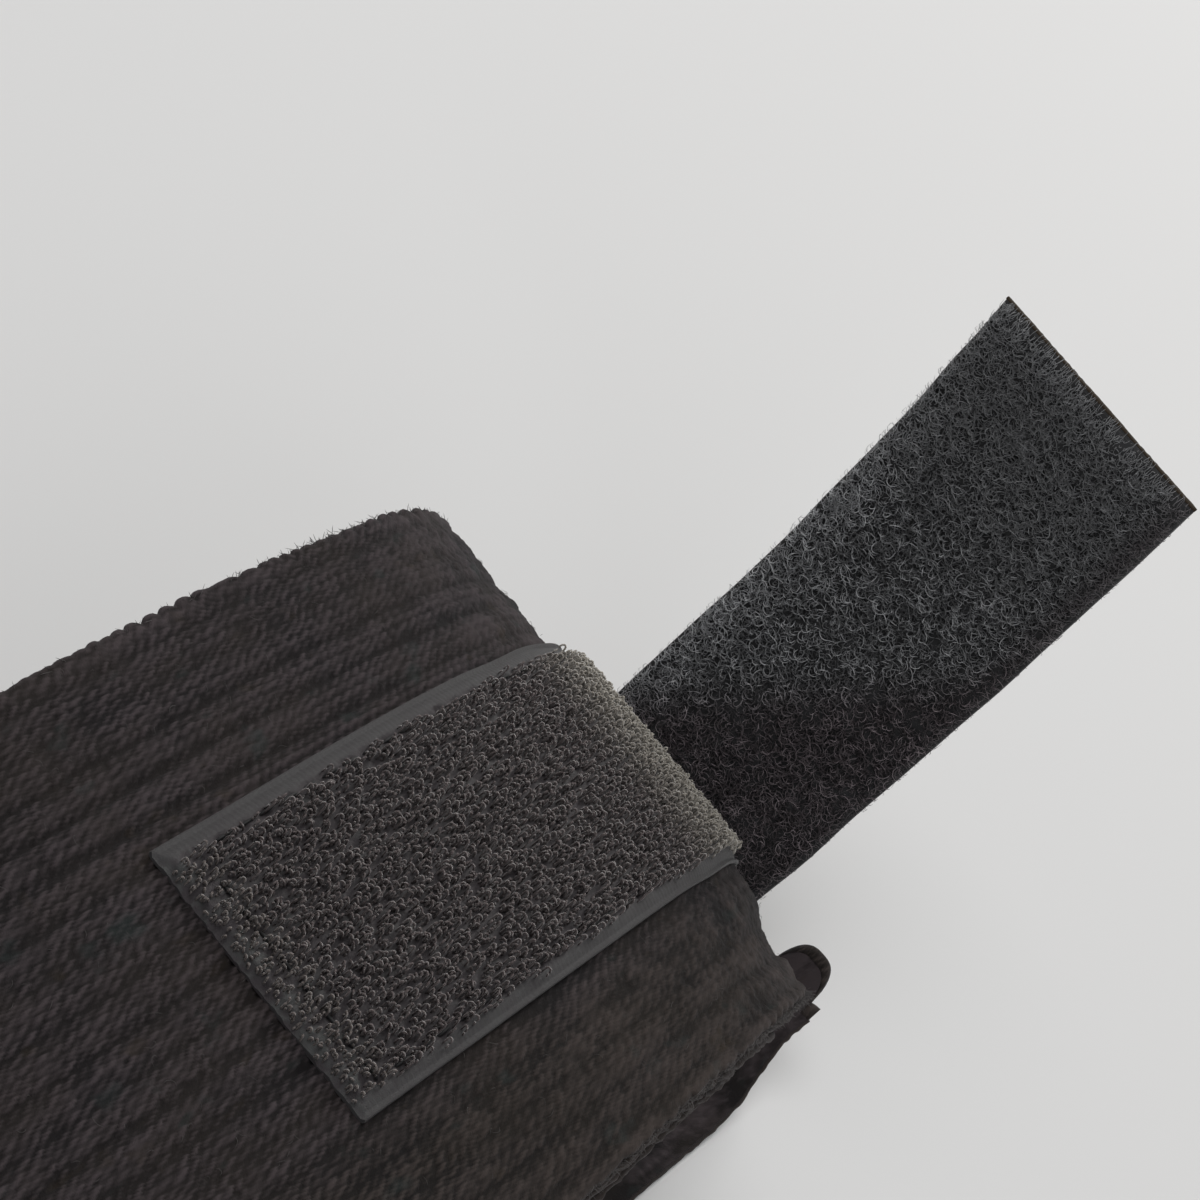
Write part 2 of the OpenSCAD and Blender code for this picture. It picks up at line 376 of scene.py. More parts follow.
def tube_object(name, paths, radius, sides=5, taper=0.6, shades=None, marks=None):
    """Round threads. shades gives each one's paleness, and marks how much of the tint it takes."""
    points, faces = tubes(paths, radius, sides, taper)
    count, along, _ = paths.shape
    shades = RNG.random(count) if shades is None else shades
    marks = np.zeros(count) if marks is None else marks
    shade = np.repeat(shades, along * sides)
    share = np.tile(np.repeat(np.linspace(0, 1, along), sides), count)
    cloth = np.stack([share, shade, np.repeat(marks, along * sides)], -1)
    return make_mesh(name, points, faces, cloth, shade)


# ------------------------ the band's fabric
GRAIN_ROW = 0.75
GRAIN_PITCH = 1.31
GRAIN_SLANT = 1.25
GRAIN_RISE = 0.40
STROKE_TURN = 0.42
STROKE_LENGTH = 0.75
STROKE_WIDTH = 0.30
RIB_SPACING = 3.0
RIB_RISE = 0.48
CORD_PITCH = 1.9
CORD_RISE = 0.26
FELTED_FROM = 24.0
FELTED_TO = 52.0
BACK_FACE_AT = 37.0


def crepe(length, y):
    """Height of the slanted grains of twisted yarn, from 0 to about 1."""
    wide = length + 0.35 * noise(length / 1.9, y / 1.3, 1)
    across = y + 0.18 * noise(length / 2.6, y / 1.9, 2)
    row = across / GRAIN_ROW
    j = np.floor(row)
    v = row - j - 0.5
    u = wide / GRAIN_PITCH + GRAIN_SLANT * v + 7.3 * lattice(j, j * 0, 3)
    i = np.floor(u)
    bump = 0.5 - 0.5 * np.cos(FULL_TURN * u)
    size = 0.45 + 0.75 * lattice(i, j, 4)
    grain = size * bump * (1 - (2 * np.abs(v)) ** 2.5)
    ahead = (across * math.sin(STROKE_TURN) - wide * math.cos(STROKE_TURN)) / STROKE_LENGTH
    aside = (wide * math.sin(STROKE_TURN) + across * math.cos(STROKE_TURN)) / STROKE_WIDTH
    stroke = 0.42 + 0.5 * noise(ahead, aside, 19)
    return 0.72 * grain + 0.28 * stroke


def ribs(length, y):
    """The ridges that run along the band between narrow grooves: height, and a shade with painted highlight
    on the crests and painted shade in the grooves.
    """
    place = y / RIB_SPACING + 0.16 * noise(length / 45, y / 5, 5)
    lane = np.floor(place)
    share = place - lane
    deep = 0.35 + 0.65 * lattice(lane, np.floor(length / 900), 6)
    along = 0.75 + 0.35 * noise(length / 22, lane * 1.7, 7)
    groove = np.exp(-((share - 0.5) / 0.12) ** 2)
    crest = np.exp(-((share - 0.12) / 0.08) ** 2) + 0.5 * np.exp(-((share - 0.85) / 0.10) ** 2)
    swell = 0.40 * noise(length / 70, y / 6.5, 16)
    # Second value: painted highlight on the crests, painted shade in the grooves.
    return (0.6 * crest - groove) * deep * along + swell, (0.8 * crest - 1.2 * groove) * deep * along


def fabric_relief(length, y, felted):
    """Height of the fabric's face above its mean, in millimetres, and its shade from 0 to 1: painted
    highlight on grain tops and rib crests, painted shade in the hollows, and the cotton's own mottled
    pepper and blotches.
    """
    grain = crepe(length, y)
    rib, crest = ribs(length, y)
    pepper = 0.7 * noise(length / 0.45, y / 0.4, 8) + 0.9 * noise(length / 0.85, y / 0.75, 17)
    strength = GRAIN_RISE * (1 - 0.75 * felted)
    rise = strength * (grain - 0.4) + RIB_RISE * rib * (1 - 0.5 * felted) + (0.03 + 0.05 * felted) * pepper
    blotch = noise(length / 3.6, y / 2.1, 22) + 0.6 * noise(length / 1.7, y / 1.2, 23)
    rise = rise + 0.09 * felted * blotch
    # Painted shade in the hollows between grains, painted highlight on grain tops and rib crests.
    shade = 0.40 + 1.30 * (grain - 0.36) * (1 - 0.6 * felted) + 0.42 * crest * (1 - 0.4 * felted)
    return rise, np.clip(shade + (0.05 + 0.16 * felted) * pepper + (0.06 + 0.30 * felted) * blotch, 0, 1)


def layer_drift(length):
    """How far a turn lies to one side of the turns under it."""
    free = 0.7 * noise(length / 190, length * 0, 9) + 0.35 * noise(length / 60, length * 0, 10)
    return free * smooth_step(ROLL_LENGTH - length, 150, 400)


def edge_cord(length, side):
    """The bumps of the band's corded edge, and its slow wavering, in millimetres."""
    place = length / CORD_PITCH + 0.9 * noise(length / 7, side * 2.0, 11)
    cord = np.abs(np.sin(math.pi * place)) - 0.5
    cord = CORD_RISE * cord * (1 + 0.8 * noise(length / 3, side * 3.0, 12)) * (1 - 0.35 * (side < 0))
    cord = cord + 0.12 * noise(length / 0.8, side * 4.0, 18)
    waver = 0.30 * noise(length / 13, side * 5.0, 13) + 0.45 * noise(length / 47, side * 7.0, 14)
    return cord, waver


# The roll's right-hand corner is drawn in, and the hem's right-hand corner sticks out in a lobe.
PINCH = 2.75
HEM_NARROWING = 1.75
HEM_SHORT = 2.4
LOBE_REACH = 5.0
LOBE_MIDDLE = 23.6
LOBE_HALF = 2.9


def pinch_limb(points):
    """Draws the roll's right-hand corner in, where the elastic edge holds the round end tighter."""
    x, y = points[..., 0], points[..., 1]
    dip = smooth_step(-y, 15, 21.5) - 0.05 * smooth_step(-y, 22, 25.5)
    dip = dip + 0.12 * noise(y / 1.7, x / 9, 15)
    points[..., 0] = x - PINCH * smooth_step(x, 30, 56) * dip
    inward = 1.3 * smooth_step(x, -10, 50) + 0.8 * smooth_step(x, 46, 58)
    points[..., 1] = y + inward * smooth_step(-y, 16, 27.5)
    return above_floor(points)


def above_floor(points):
    """Cloth that would reach below the floor lies flat on it."""
    points[..., 2] = np.maximum(points[..., 2], 0.0)
    return points


def tail_outline(s, y):
    """The tail narrows a little towards the hem, whose right-hand corner sticks out in a soft lobe."""
    right = smooth_step(-y, 18, 28)
    inward = HEM_NARROWING * smooth_step(s, 68, 79) - 0.45 * smooth_step(-s, -74, -64)
    side = y + right * inward
    dome = np.sqrt(np.clip(1 - np.abs((side + LOBE_MIDDLE) / LOBE_HALF) ** 3, 0, 1))
    lobe = np.maximum(dome, 0.14 * smooth_step(-side, LOBE_MIDDLE, LOBE_MIDDLE + LOBE_HALF))
    reach = (LOBE_REACH * lobe - HEM_SHORT) * smooth_step(s, BAND_END_S - HEM_LEN, HEM_FOLD_S)
    return s + reach, side


def how_felted(x, y):
    """How matted the cotton is, from 0 to 1: most on the roll's right-hand end and edge."""
    return np.clip(smooth_step(x, FELTED_FROM, FELTED_TO)
                   + 0.5 * smooth_step(-y, 12, 18) * smooth_step(x, -15, 25), 0, 1)


def band_strip(name, start, end, step, upper, lower, rise=1.0, is_tail=False):
    """A length of the band, closed at both ends, between two lengths from its start."""
    lengths = np.linspace(start, end, max(3, int(round((end - start) / step)) + 1))
    across, height, face = band_section(BAND_W, BAND_T, upper, lower)
    line = band_line(lengths)
    side = np.sign(across)
    grid, y = spread(lengths, across)
    cloth_y = y + BACK_FACE_AT * (face < 0)
    lift, shade = fabric_relief(grid, cloth_y, how_felted(line[0][:, 0, None], y))
    edge = np.abs(height) / (BAND_T / 2)
    near_edge = smooth_step(np.abs(across), BAND_W / 2 - 1.6, BAND_W / 2 - 0.3)
    cord, waver = edge_cord(grid, side)
    if is_tail:
        cord, waver = 0.5 * cord, 0.6 * waver
    y_out = y + side * near_edge * (cord * (1.2 - 0.4 * edge) + waver)
    y_out = y_out + layer_drift(grid) + band_centre(grid)
    high = height + face * rise * lift * (1 - 0.5 * near_edge) + np.sign(height) * near_edge * 0.35 * cord
    shade = np.where(face == 0, 0.5 + 0.4 * cord / CORD_RISE, shade)
    if is_tail:
        station_s = grid - ROLL_LENGTH + ROLL_END_X
        # Painted light on the top of the hem's lobe, where the roll and strap shade it.
        shade = shade + 0.45 * smooth_step(station_s, 72, 79) * smooth_step(-y, 17, 21)
        return strip_mesh(name, tail_place(station_s, y_out, high), grid, cloth_y, high, shade,
                          (len(across) - 2 * EDGE_POINTS) // 2)
    # Both edges are painted paler: painted sheen where the face rounds over the edge, and on the -y edge
    # also its paler loose fuzz.
    pale = np.where(side < 0, 0.45, 0.30) * smooth_step(np.abs(across), BAND_W / 2 - 2.6, BAND_W / 2 - 0.4)
    shade = shade + pale * (0.35 + 0.5 * noise(grid / 5.1, y / 1.5, 20))
    return strip_mesh(name, pinch_limb(place_off(line, y_out, high)), grid, cloth_y, high, shade)


def tail_place(s, y, high):
    """Points of the tail. high is the distance below its middle."""
    placed, side = tail_outline(s, y)
    return above_floor(to_3d(tail_point(placed, -BAND_T / 2 - high), side))


def band_centre(length):
    """The tail's middle line leaves the roll's middle slowly."""
    return TAIL_Y * smooth_step(length, ROLL_LENGTH - 20, ROLL_LENGTH + 30)


# ------------------------ materials
def new_material(name):
    mat = bpy.data.materials.new(name)
    mat.use_nodes = True
    tree = mat.node_tree
    shader = tree.nodes["Principled BSDF"]
    return mat, tree, shader


def add(tree, kind, **values):
    node = tree.nodes.new(kind)
    for key, value in values.items():
        setattr(node, key, value)
    return node


def cloth_sockets(tree):
    """The places on the cloth and the relief that the mesh carries."""
    return (add(tree, "ShaderNodeAttribute", attribute_name="cloth").outputs["Vector"],
            add(tree, "ShaderNodeAttribute", attribute_name="relief").outputs["Fac"])


def set_inputs(node, values):
    for key, value in values.items():
        node.inputs[key].default_value = value


def stretched_noise(tree, vector, scale, stretch, detail=3.0, turn=0.0):
    """Noise on the cloth's own lengths in millimetres."""
    mapping = add(tree, "ShaderNodeMapping", vector_type="TEXTURE")
    set_inputs(mapping, {"Scale": [1 / share for share in stretch], "Rotation": (0, 0, turn)})
    texture = add(tree, "ShaderNodeTexNoise")
    set_inputs(texture, {"Scale": scale, "Detail": detail, "Roughness": 0.6})
    tree.links.new(vector, mapping.inputs["Vector"])
    tree.links.new(mapping.outputs["Vector"], texture.inputs["Vector"])
    return texture.outputs["Fac"]


def between(tree, value, low, high, to_low=0.0, to_high=1.0):
    node = add(tree, "ShaderNodeMapRange")
    set_inputs(node, {"From Min": low, "From Max": high, "To Min": to_low, "To Max": to_high})
    tree.links.new(value, node.inputs["Value"])
    return node.outputs["Result"]


def mix_colour(tree, share, first, second, mode="MIX"):
    """first and second are colours or sockets, and so is share a number or a socket."""
    node = add(tree, "ShaderNodeMix", data_type="RGBA", blend_type=mode)
    for socket, value in ((node.inputs[0], share), (node.inputs[6], first), (node.inputs[7], second)):
        if isinstance(value, bpy.types.NodeSocket):
            tree.links.new(value, socket)
        elif isinstance(value, (int, float)):
            socket.default_value = value
        else:
            socket.default_value = (*value, 1.0)
    return node.outputs[2]


def maths(tree, operation, first, second):
    node = add(tree, "ShaderNodeMath", operation=operation)
    for socket, value in zip(node.inputs, (first, second)):
        if isinstance(value, bpy.types.NodeSocket):
            tree.links.new(value, socket)
        else:
            socket.default_value = value
    return node.outputs[0]


def weighed(tree, first, first_share, second, second_share):
    """The sum of two sockets, each by its share."""
    return maths(tree, "ADD", maths(tree, "MULTIPLY", first, first_share),
                 maths(tree, "MULTIPLY", second, second_share))


def bump(tree, shader, height, distance, strength):
    node = add(tree, "ShaderNodeBump")
    set_inputs(node, {"Strength": strength, "Distance": distance})
    tree.links.new(height, node.inputs["Height"])
    tree.links.new(node.outputs["Normal"], shader.inputs["Normal"])


def band_material():
    """Black elastic cotton crepe. Its colour follows the relief attribute, which carries painted shade in
    the hollows and grooves and painted highlight on the raised yarn and rib crests, besides the cotton's
    own mottling; faint brown and blue-green casts.
    """
    mat, tree, shader = new_material("band_crepe")
    cloth, relief = cloth_sockets(tree)
    fibre = stretched_noise(tree, cloth, 2.4, (0.55, 1.5, 1.0), 3.0, -STROKE_TURN)
    patch = stretched_noise(tree, cloth, 0.16, (0.5, 1.0, 1.0), 2.0)
    cast = stretched_noise(tree, cloth, 0.33, (0.6, 1.0, 1.0), 2.0)
    # The relief attribute's painted shade and painted highlight, with a little fibre noise, sets the colour
    # here.
    share = between(tree, weighed(tree, relief, 0.85, fibre, 0.28), 0.24, 0.89)
    colour = mix_colour(tree, share, (0.0065, 0.0050, 0.0056), (0.055, 0.044, 0.0478))
    colour = mix_colour(tree, between(tree, patch, 0.35, 0.7, 0.0, 0.35), colour, (0.032, 0.024, 0.019))
    place = add(tree, "ShaderNodeSeparateXYZ")
    tree.links.new(cloth, place.inputs[0])
    olive = between(tree, place.outputs["Y"], -12.0, -17.0, 0.0, 0.9)
    colour = mix_colour(tree, olive, colour, (0.86, 0.84, 0.70), "MULTIPLY")
    colour = mix_colour(tree, between(tree, cast, 0.62, 0.74, 0.0, 0.45), colour, (0.022, 0.032, 0.031))
    colour = mix_colour(tree, between(tree, cast, 0.36, 0.24, 0.0, 0.5), colour, (0.030, 0.021, 0.012))
    tree.links.new(colour, shader.inputs["Base Color"])
    set_inputs(shader, {"Roughness": 0.88, "Specular IOR Level": 0.25, "Sheen Weight": 0.08,
                        "Sheen Roughness": 0.45, "Sheen Tint": (0.82, 0.80, 0.84, 1.0)})
    fine = stretched_noise(tree, cloth, 5.0, (0.6, 1.5, 1.0), 3.0, -STROKE_TURN)
    bump(tree, shader, fine, 0.00010, 0.9)
    return mat


def tape_material(name, dark, light):
    """Woven nylon tape, ribbed across and a little glossy."""
    mat, tree, shader = new_material(name)
    cloth, relief = cloth_sockets(tree)
    yarn = stretched_noise(tree, cloth, 2.6, (1.6, 0.5, 1.0), 3.0)
    share = between(tree, weighed(tree, relief, 0.75, yarn, 0.4), 0.2, 0.95)
    colour = mix_colour(tree, share, dark, light)
    tree.links.new(colour, shader.inputs["Base Color"])
    set_inputs(shader, {"Roughness": 0.62, "Specular IOR Level": 0.4, "Sheen Weight": 0.12,
                        "Sheen Roughness": 0.4})
    fine = stretched_noise(tree, cloth, 9.0, (1.0, 1.0, 1.0), 3.0)
    bump(tree, shader, fine, 0.00010, 0.7)
    return mat


def thread_material(name, dark, light, roughness, sheen=0.0, tint=(1.0, 1.0, 1.0), soft=0.0, gloss=0.5):
    """Threads, hooks and fibres: each one has its own shade, and tint colours those marked for it.

    soft is how much light passes through them, and gloss how much they shine.
    """
    mat, tree, shader = new_material(name)
    cloth, shade = cloth_sockets(tree)
    grain = stretched_noise(tree, cloth, 9.0, (1.0, 3.0, 1.0), 2.0)
    share = between(tree, weighed(tree, shade, 0.8, grain, 0.35), 0.1, 1.0)
    colour = mix_colour(tree, share, dark, light)
    mark = add(tree, "ShaderNodeSeparateXYZ")
    tree.links.new(cloth, mark.inputs[0])
    colour = mix_colour(tree, mark.outputs["Z"], colour, tint, "MULTIPLY")
    tree.links.new(colour, shader.inputs["Base Color"])
    set_inputs(shader, {"Roughness": roughness, "Subsurface Weight": soft,
                        "Subsurface Radius": (1.0, 1.0, 1.0), "Subsurface Scale": 0.6 * MM,
                        "Specular IOR Level": gloss, "Sheen Weight": sheen})
    bump(tree, shader, grain, 0.00004, 0.5)
    return mat


CREPE = band_material()
HOOK_TAPE_CLOTH = tape_material("hook_tape_weave", (0.033, 0.027, 0.030), (0.053, 0.054, 0.0535))
STRAP_CLOTH = tape_material("strap_weave", (0.008, 0.0078, 0.008), (0.044, 0.043, 0.046))
LOOP_CLOTH = tape_material("thumb_loop_weave", (0.012, 0.012, 0.013), (0.050, 0.049, 0.052))
HOOK_WIRE = thread_material("hook_nylon", (0.17, 0.156, 0.135), (0.36, 0.335, 0.290), 0.8,
                            tint=(0.290, 0.262, 0.300), soft=0.8, gloss=0.05)
PILE_FIBRE = thread_material("loop_fibre", (0.016, 0.0165, 0.018), (0.80, 0.81, 0.83), 0.42,
                             tint=(0.48, 0.40, 0.415))
PILE_GROUND = thread_material("loop_ground", (0.008, 0.008, 0.0085), (0.028, 0.028, 0.030), 0.9)
SEWING = thread_material("sewing_thread", (0.006, 0.006, 0.006), (0.022, 0.021, 0.022), 0.7)
FUZZ = thread_material("cotton_fuzz", (0.018, 0.016, 0.0155), (0.080, 0.072, 0.070), 0.8, 0.1)
SEALED = thread_material("melted_edge", (0.008, 0.006, 0.004), (0.055, 0.036, 0.020), 0.6, gloss=0.2)


def finish_piece(obj, material, body=None, hinge=None, nodes=()):
    """Gives a piece its material and slot, and rides it on a body, or bakes its place into its mesh where a
    hinge is given.
    """
    obj.data.materials.append(material)
    if hinge:
        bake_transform(obj)
    else:
        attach(obj, body)
    if nodes:
        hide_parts(*nodes)
    return obj


# ------------------------ hinges of the tail and strap
def hinge_place(s):
    x, z = tail_point(np.array([s]), 0.0)[0]
    return (x * MM, 0.0, z * MM)


def hinge_zone(first, second, start, end):
    return (first, second, hinge_place(start), hinge_place(end))


# Where one piece of the tail ends and the next begins. Each hinge lists the two pieces that it joins
# and a reach round it, or up to a cut where that is nearer.
CUT_1, CUT_2, CUT_3, CUT_4, CUT_5, CUT_6 = 20.0, 47.0, 60.0, 70.16, 80.3, 94.5
TAIL_REACH, RISE_REACH, BEND_REACH, STRAP_REACH = 6.0, 5.0, 4.05, 8.0
HINGES = {
    1: hinge_zone("roll", "tail_lift", TAIL_HINGE_1 - TAIL_REACH, TAIL_HINGE_1 + TAIL_REACH),
    2: hinge_zone("tail_lift", "tail_rise", TAIL_HINGE_2 - RISE_REACH, CUT_3),
    3: hinge_zone("tail_rise", "strap_heel", BEND_HINGE_1 - BEND_REACH, CUT_4),
    4: hinge_zone("strap_heel", "strap_ankle", CUT_4, BEND_HINGE_2 + BEND_REACH),
    5: hinge_zone("strap_ankle", "strap_middle", CUT_5, STRAP_HINGE_1 + TAIL_REACH),
    6: hinge_zone("strap_middle", "strap_end", STRAP_HINGE_2 - STRAP_REACH, STRAP_HINGE_2 + STRAP_REACH),
}


# ------------------------ the rolled band
LAST_TURN = length_at(ROLL_END_ANGLE - 360)
LIMB_FROM = length_at(-45.0)
CROWN_FROM = length_at(60.0)
CROWN_MIDDLE = length_at(90.0)
CROWN_TO = length_at(125.0)


def wind_band():
    """The wound turns as one spiral sheet, and the outermost turn in four finer lengths."""
    core = band_strip("band_turns", 0.0, LAST_TURN, 0.95, 10, 6, rise=0.5)
    finish_piece(core, CREPE, "roll", nodes=("band_roll",))
    spans = [("band_under", LAST_TURN, LIMB_FROM, 0.6, 110, 12),
             ("band_limb", LIMB_FROM, CROWN_FROM, 0.23, 250, 12),
             ("band_crown", CROWN_FROM, CROWN_MIDDLE, 0.19, 290, 12),
             ("band_crown_far", CROWN_MIDDLE, CROWN_TO, 0.19, 290, 12),
             ("band_back", CROWN_TO, ROLL_LENGTH, 0.45, 130, 12)]
    for name, start, end, step, upper, lower in spans:
        piece = band_strip(name, start, end, step, upper, lower)
        finish_piece(piece, CREPE, "roll")


def lay_tail():
    """The flat tail under the roll and the lengths that meet at its hinges."""
    spans = [("tail_flat", ROLL_END_X, CUT_1, None, ("tail_band_1",)),
             ("tail_lifting", CUT_1, CUT_2, HINGES[1], ("tail_band_2",)),
             ("tail_rising", CUT_2, CUT_3, HINGES[2], ("tail_band_3",)),
             ("tail_heel", CUT_3, CUT_4, HINGES[3], ("tail_band_4",)),
             ("tail_ankle", CUT_4, HEM_FOLD_S, HINGES[4], ("tail_band_5",))]
    for name, start, end, hinge, nodes in spans:
        upper = 200 if start >= CUT_3 else 110
        piece = band_strip(name, tail_length(start), tail_length(end), 0.4, upper, upper, 0.6, True)
        finish_piece(piece, CREPE, "roll", hinge, nodes)


wind_band()
lay_tail()


# ------------------------ the tail's hem
HEM_PATTERN_AT = 900.0


def hem_outline():
    """The hem's section: (station, height), from its top round the end and back along its inside."""
    fold_r = BAND_T * 0.95
    start_s = BAND_END_S - HEM_LEN
    turn = np.linspace(0, math.pi, 13)
    below = np.linspace(HEM_FOLD_S, start_s, 10)[1:]
    edge = np.linspace(0, math.pi, 7)[1:-1]
    inside = np.linspace(start_s, HEM_FOLD_S, 10)
    sag = 0.1 * np.sin(math.pi * (below - HEM_FOLD_S) / HEM_LEN)
    s = np.concatenate([HEM_FOLD_S + (fold_r + 0.25) * np.sin(turn), below,
                        start_s - 0.4 * np.sin(edge), inside])
    off = np.concatenate([fold_r * np.cos(turn) - fold_r, -2 * fold_r - sag,
                          -1.5 * fold_r - 0.4 * np.cos(edge), 0 * inside - fold_r - 0.12])
    return s, off


def fold_hem():
    """The end of the band, folded under in a soft roll and sewn down."""
    s, off = hem_outline()
    y = np.linspace(-BAND_W / 2 + 0.2, BAND_W / 2 - 0.2, 260)[:, None] + 0 * s
    s = s + 0 * y
    rim = smooth_step(np.abs(y), BAND_W / 2 - 2.2, BAND_W / 2)
    lift, shade = fabric_relief(HEM_PATTERN_AT + s, y, 0.3)
    swell = (1 + 0.30 * rim) * (1 + 0.12 * noise(y / 3.0, 0 * y, 21))
    swollen = np.where(s > HEM_FOLD_S, HEM_FOLD_S + (s - HEM_FOLD_S) * swell, s)
    placed, side = tail_outline(swollen, y + TAIL_Y)
    points = to_3d(tail_point(placed, off * (1 + 0.18 * rim) - 0.35 * np.maximum(lift, -0.1)), side)
    cloth = np.stack([s, y, 0 * y], -1)
    hem = make_mesh("tail_hem_fold", points, ring_faces(*y.shape), cloth, shade)
    finish_piece(hem, CREPE, "strap_ankle", nodes=("tail_hem",))


fold_hem()


# ------------------------ stitches
def stitch_paths(starts, ends, rises):
    """Short bulging threads from starts to ends; rises are unit directions away from the cloth."""
    share = np.linspace(0, 1, 6)
    arch = np.sin(math.pi * share) ** 0.6
    straight = starts[:, None] * (1 - share)[:, None] + ends[:, None] * share[:, None]
    return straight + rises[:, None] * (arch * 0.22)[:, None]


def seam(line, places, across, height, step, length_each):
    """Stitch ends along a straight seam on a line. places and across are the seam's ends."""
    (s0, s1), (y0, y1) = places, across
    total = abs(s1 - s0) + abs(y1 - y0)
    first = np.arange(max(1, int(total / step))) * step / total
    last = first + length_each / total
    out = line(s0 + (s1 - s0) * first)[1]
    ends = [to_3d(line(s0 + (s1 - s0) * share)[0] + height * out, y0 + (y1 - y0) * share)
            for share in (first, last)]
    return ends[0], ends[1], to_3d(out)


def sew(name, seams, radius, nodes, body=None, hinge=None):
    """Makes the stitches of some seams, which ride on a body or, where a hinge is given, have their place
    baked into their mesh.
    """
    starts, ends, rises = (np.concatenate(parts) for parts in zip(*seams))
    threads = tube_object(name, stitch_paths(starts, ends, rises), radius, 6, 0.55)
    finish_piece(threads, SEWING, body, hinge, nodes)


# ------------------------ the hook patch
TAPE_MIDDLE = BAND_T / 2 + TAPE_T / 2 - 0.05
TAPE_TOP = BAND_T / 2 + TAPE_T
PATCH_START = length_at(HOOK_NEAR_ANGLE)
PATCH_END = length_at(HOOK_FAR_ANGLE) - 0.8
PATCH_Y = -0.8
SEAM_IN = 1.95
END_SEAM_IN = 3.0
PATCH_STITCH = 2.4
RIB_PITCH = 0.52
WEAVE_ALONG = 1.88
WEAVE_ACROSS = 1.75


def edge_drop(from_side, from_end):
    """How far the tape's face is pulled down towards its edges."""
    return 0.58 * (1 - smooth_step(np.minimum(from_side, 1.3 * from_end), -0.3, 1.4))


def stitch_dip(from_edge, seam_in, inside, along):
    """How the seam draws the tape down, most at each stitch."""
    row = np.exp(-((from_edge - seam_in) / 0.33) ** 2) * inside
    return row * (0.55 + 0.45 * np.cos(FULL_TURN * along / PATCH_STITCH))


def patch_face(grid, y):
    """The patch tape's face, ribbed on its plain edges: height above a flat top, and shade."""
    from_side = TAPE_W / 2 - np.abs(y)
    from_end = np.minimum(grid - PATCH_START, PATCH_END - grid)
    rib = 0.5 + 0.5 * np.sin(FULL_TURN * (grid + 0.1 * noise(grid / 3, y, 31)) / RIB_PITCH)
    plain = 1 - smooth_step(np.minimum(from_side, from_end * 2.4), 1.2, 2.0)
    slant = np.sin(FULL_TURN * (y / WEAVE_ACROSS + grid / (2 * WEAVE_ALONG)))
    weave = 0.5 + 0.5 * np.sin(FULL_TURN * grid / WEAVE_ALONG) * slant
    dip = np.maximum(stitch_dip(from_side, SEAM_IN, from_end > END_SEAM_IN - 0.4, grid),
                     stitch_dip(from_end, END_SEAM_IN, from_side > SEAM_IN - 0.4, y))
    rough = (1 - smooth_step(PATCH_END - grid, 2.5, 4.5)) * smooth_step(from_side, 0.8, 1.8)
    mottle = 0.10 * noise(grid / 0.5, y / 0.5, 34) + 0.10 * noise(grid / 1.6, y / 1.6, 35)
    speck = 0.55 * noise(grid / 0.42, y / 0.42, 36) + 0.45 * noise(grid / 0.9, y / 0.9, 37)
    lift = (0.045 * rib + 0.24 * speck * rough) * plain + (0.22 * weave + 0.06 + 0.12 * speck) * (1 - plain)
    lift = lift - 0.36 * dip - edge_drop(from_side, from_end) + 0.04 * noise(grid / 2.5, y / 2.5, 32)
    # The dimples that the seam draws in are painted darker: painted shade in them.
    shade = -0.10 + (0.62 * (1 - 0.6 * rough) + 0.16 * (rib - 0.5) + mottle) * plain - 0.7 * dip
    shade = shade + (0.25 * (weave - 0.5) + 0.12 + 0.6 * speck) * (1 - plain) + (1.2 * speck + 0.1) * rough
    return lift, shade


def patch_tape():
    """The woven tape under the hooks, which a seam pulls down all round."""
    lengths = np.linspace(PATCH_START, PATCH_END, int((PATCH_END - PATCH_START) / 0.17))
    across, height, face = band_section(TAPE_W, TAPE_SECTION, 124, 12, turn=3)
    grid, y = spread(lengths, across)
    lift, shade = patch_face(grid, y)
    waver = np.sign(across) * 0.10 * noise(grid / 6, np.sign(across) * 3.0, 33)
    high = TAPE_MIDDLE + height + (face > 0) * lift
    points = place_off(band_line(lengths), y + waver + PATCH_Y, high)
    tape = strip_mesh("hook_tape_cloth", points, grid, y, high, shade)
    finish_piece(tape, HOOK_TAPE_CLOTH, "roll", nodes=("hook_tape",))


HOOK_PITCH_ALONG = 0.57
HOOK_PITCH_ACROSS = 0.60
WIRE_R = 0.09
WIRE_SIDES = 5
HOOK_SCATTER = 0.17
HOOK_SIZE = 0.72
HOOK_SIZE_SPREAD = 0.09
HOOK_LEAN_SPREAD = 0.28


def hook_shape():
    """One hook's middle line: (along its own plane, height)."""
    stem = [(0.0, -0.1), (0.02, 0.45), (0.05, 0.85)]
    crown = [(0.32 - 0.27 * math.cos(t), 0.98 + 0.36 * math.sin(t)) for t in np.linspace(0.25, math.pi, 6)]
    return np.array(stem + crown + [(0.57, 0.70)])


def stub_shape():
    """The other leg of the cut loop."""
    return np.array([(0.62, -0.1), (0.60, 0.25), (0.52, 0.50)])


def plant(shape, s, y, swing, size, lean, drop):
    """Places a flat shape upright on the patch, swung about the upright and leaning along the band."""
    along = shape[None, :, 0] * size[:, None]
    up = shape[None, :, 1] * size[:, None]
    ahead = along * np.cos(swing)[:, None] + lean[:, None] * up
    aside = along * np.sin(swing)[:, None] + y[:, None]
    return place_off(band_line(s), aside, TAPE_TOP - drop[:, None] + up, -ahead)


